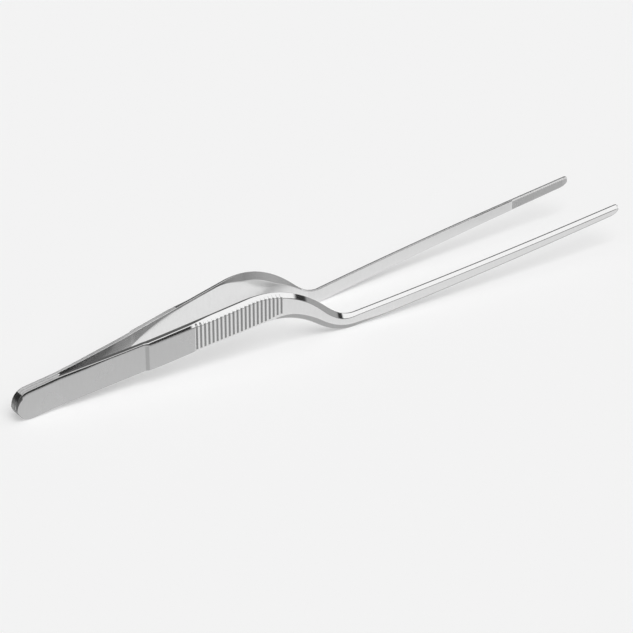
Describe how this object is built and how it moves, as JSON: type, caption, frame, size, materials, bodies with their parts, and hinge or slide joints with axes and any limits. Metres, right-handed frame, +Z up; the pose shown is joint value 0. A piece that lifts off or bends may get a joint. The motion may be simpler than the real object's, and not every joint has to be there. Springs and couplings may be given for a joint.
{
  "type": "bayonet tweezers",
  "caption": "Long bayonet tweezers: two sprung steel arms joined at the heel, with grooved grips, an offset bend and long prongs with serrated tips.",
  "frame": {"origin": "centre of the footprint, on the surface the tweezers lie on", "axes": "+X along the tweezers from the heel to the tips, +Y towards the far arm, +Z up; the arms open in the XY plane"},
  "size_m": [0.3, 0.0386, 0.0279],
  "materials": {
    "satin_steel": "satin",
    "polished_steel": "polished",
    "weld_metal": "ground flush and polished"
  },
  "bodies": {
    "heel": {"near_heel_tab": "satin_steel", "far_heel_tab": "satin_steel", "heel_weld": "weld_metal", "crotch_bead": "weld_metal"},
    "near_arm": {"near_spring_leaf": "satin_steel", "near_grip": "polished_steel", "near_prong": "polished_steel"},
    "far_arm": {"far_spring_leaf": "satin_steel", "far_grip": "polished_steel", "far_prong": "polished_steel"}
  },
  "joints": [
    {"name": "near_arm_flex", "type": "hinge", "parent": "heel", "child": "near_arm", "pos_m": [-0.12733, -0.00185, 0.00881], "axis": [0, 0, 1], "range_deg": [-1, 3.5], "stiffness_Nm_per_rad": 6.4},
    {"name": "far_arm_flex", "type": "hinge", "parent": "heel", "child": "far_arm", "pos_m": [-0.12733, 0.00185, 0.00881], "axis": [0, 0, 1], "range_deg": [-3.5, 1], "stiffness_Nm_per_rad": 6.4}
  ],
  "couplings": [
    {"joint": "far_arm_flex", "follows": "near_arm_flex", "ratio": -1}
  ]
}
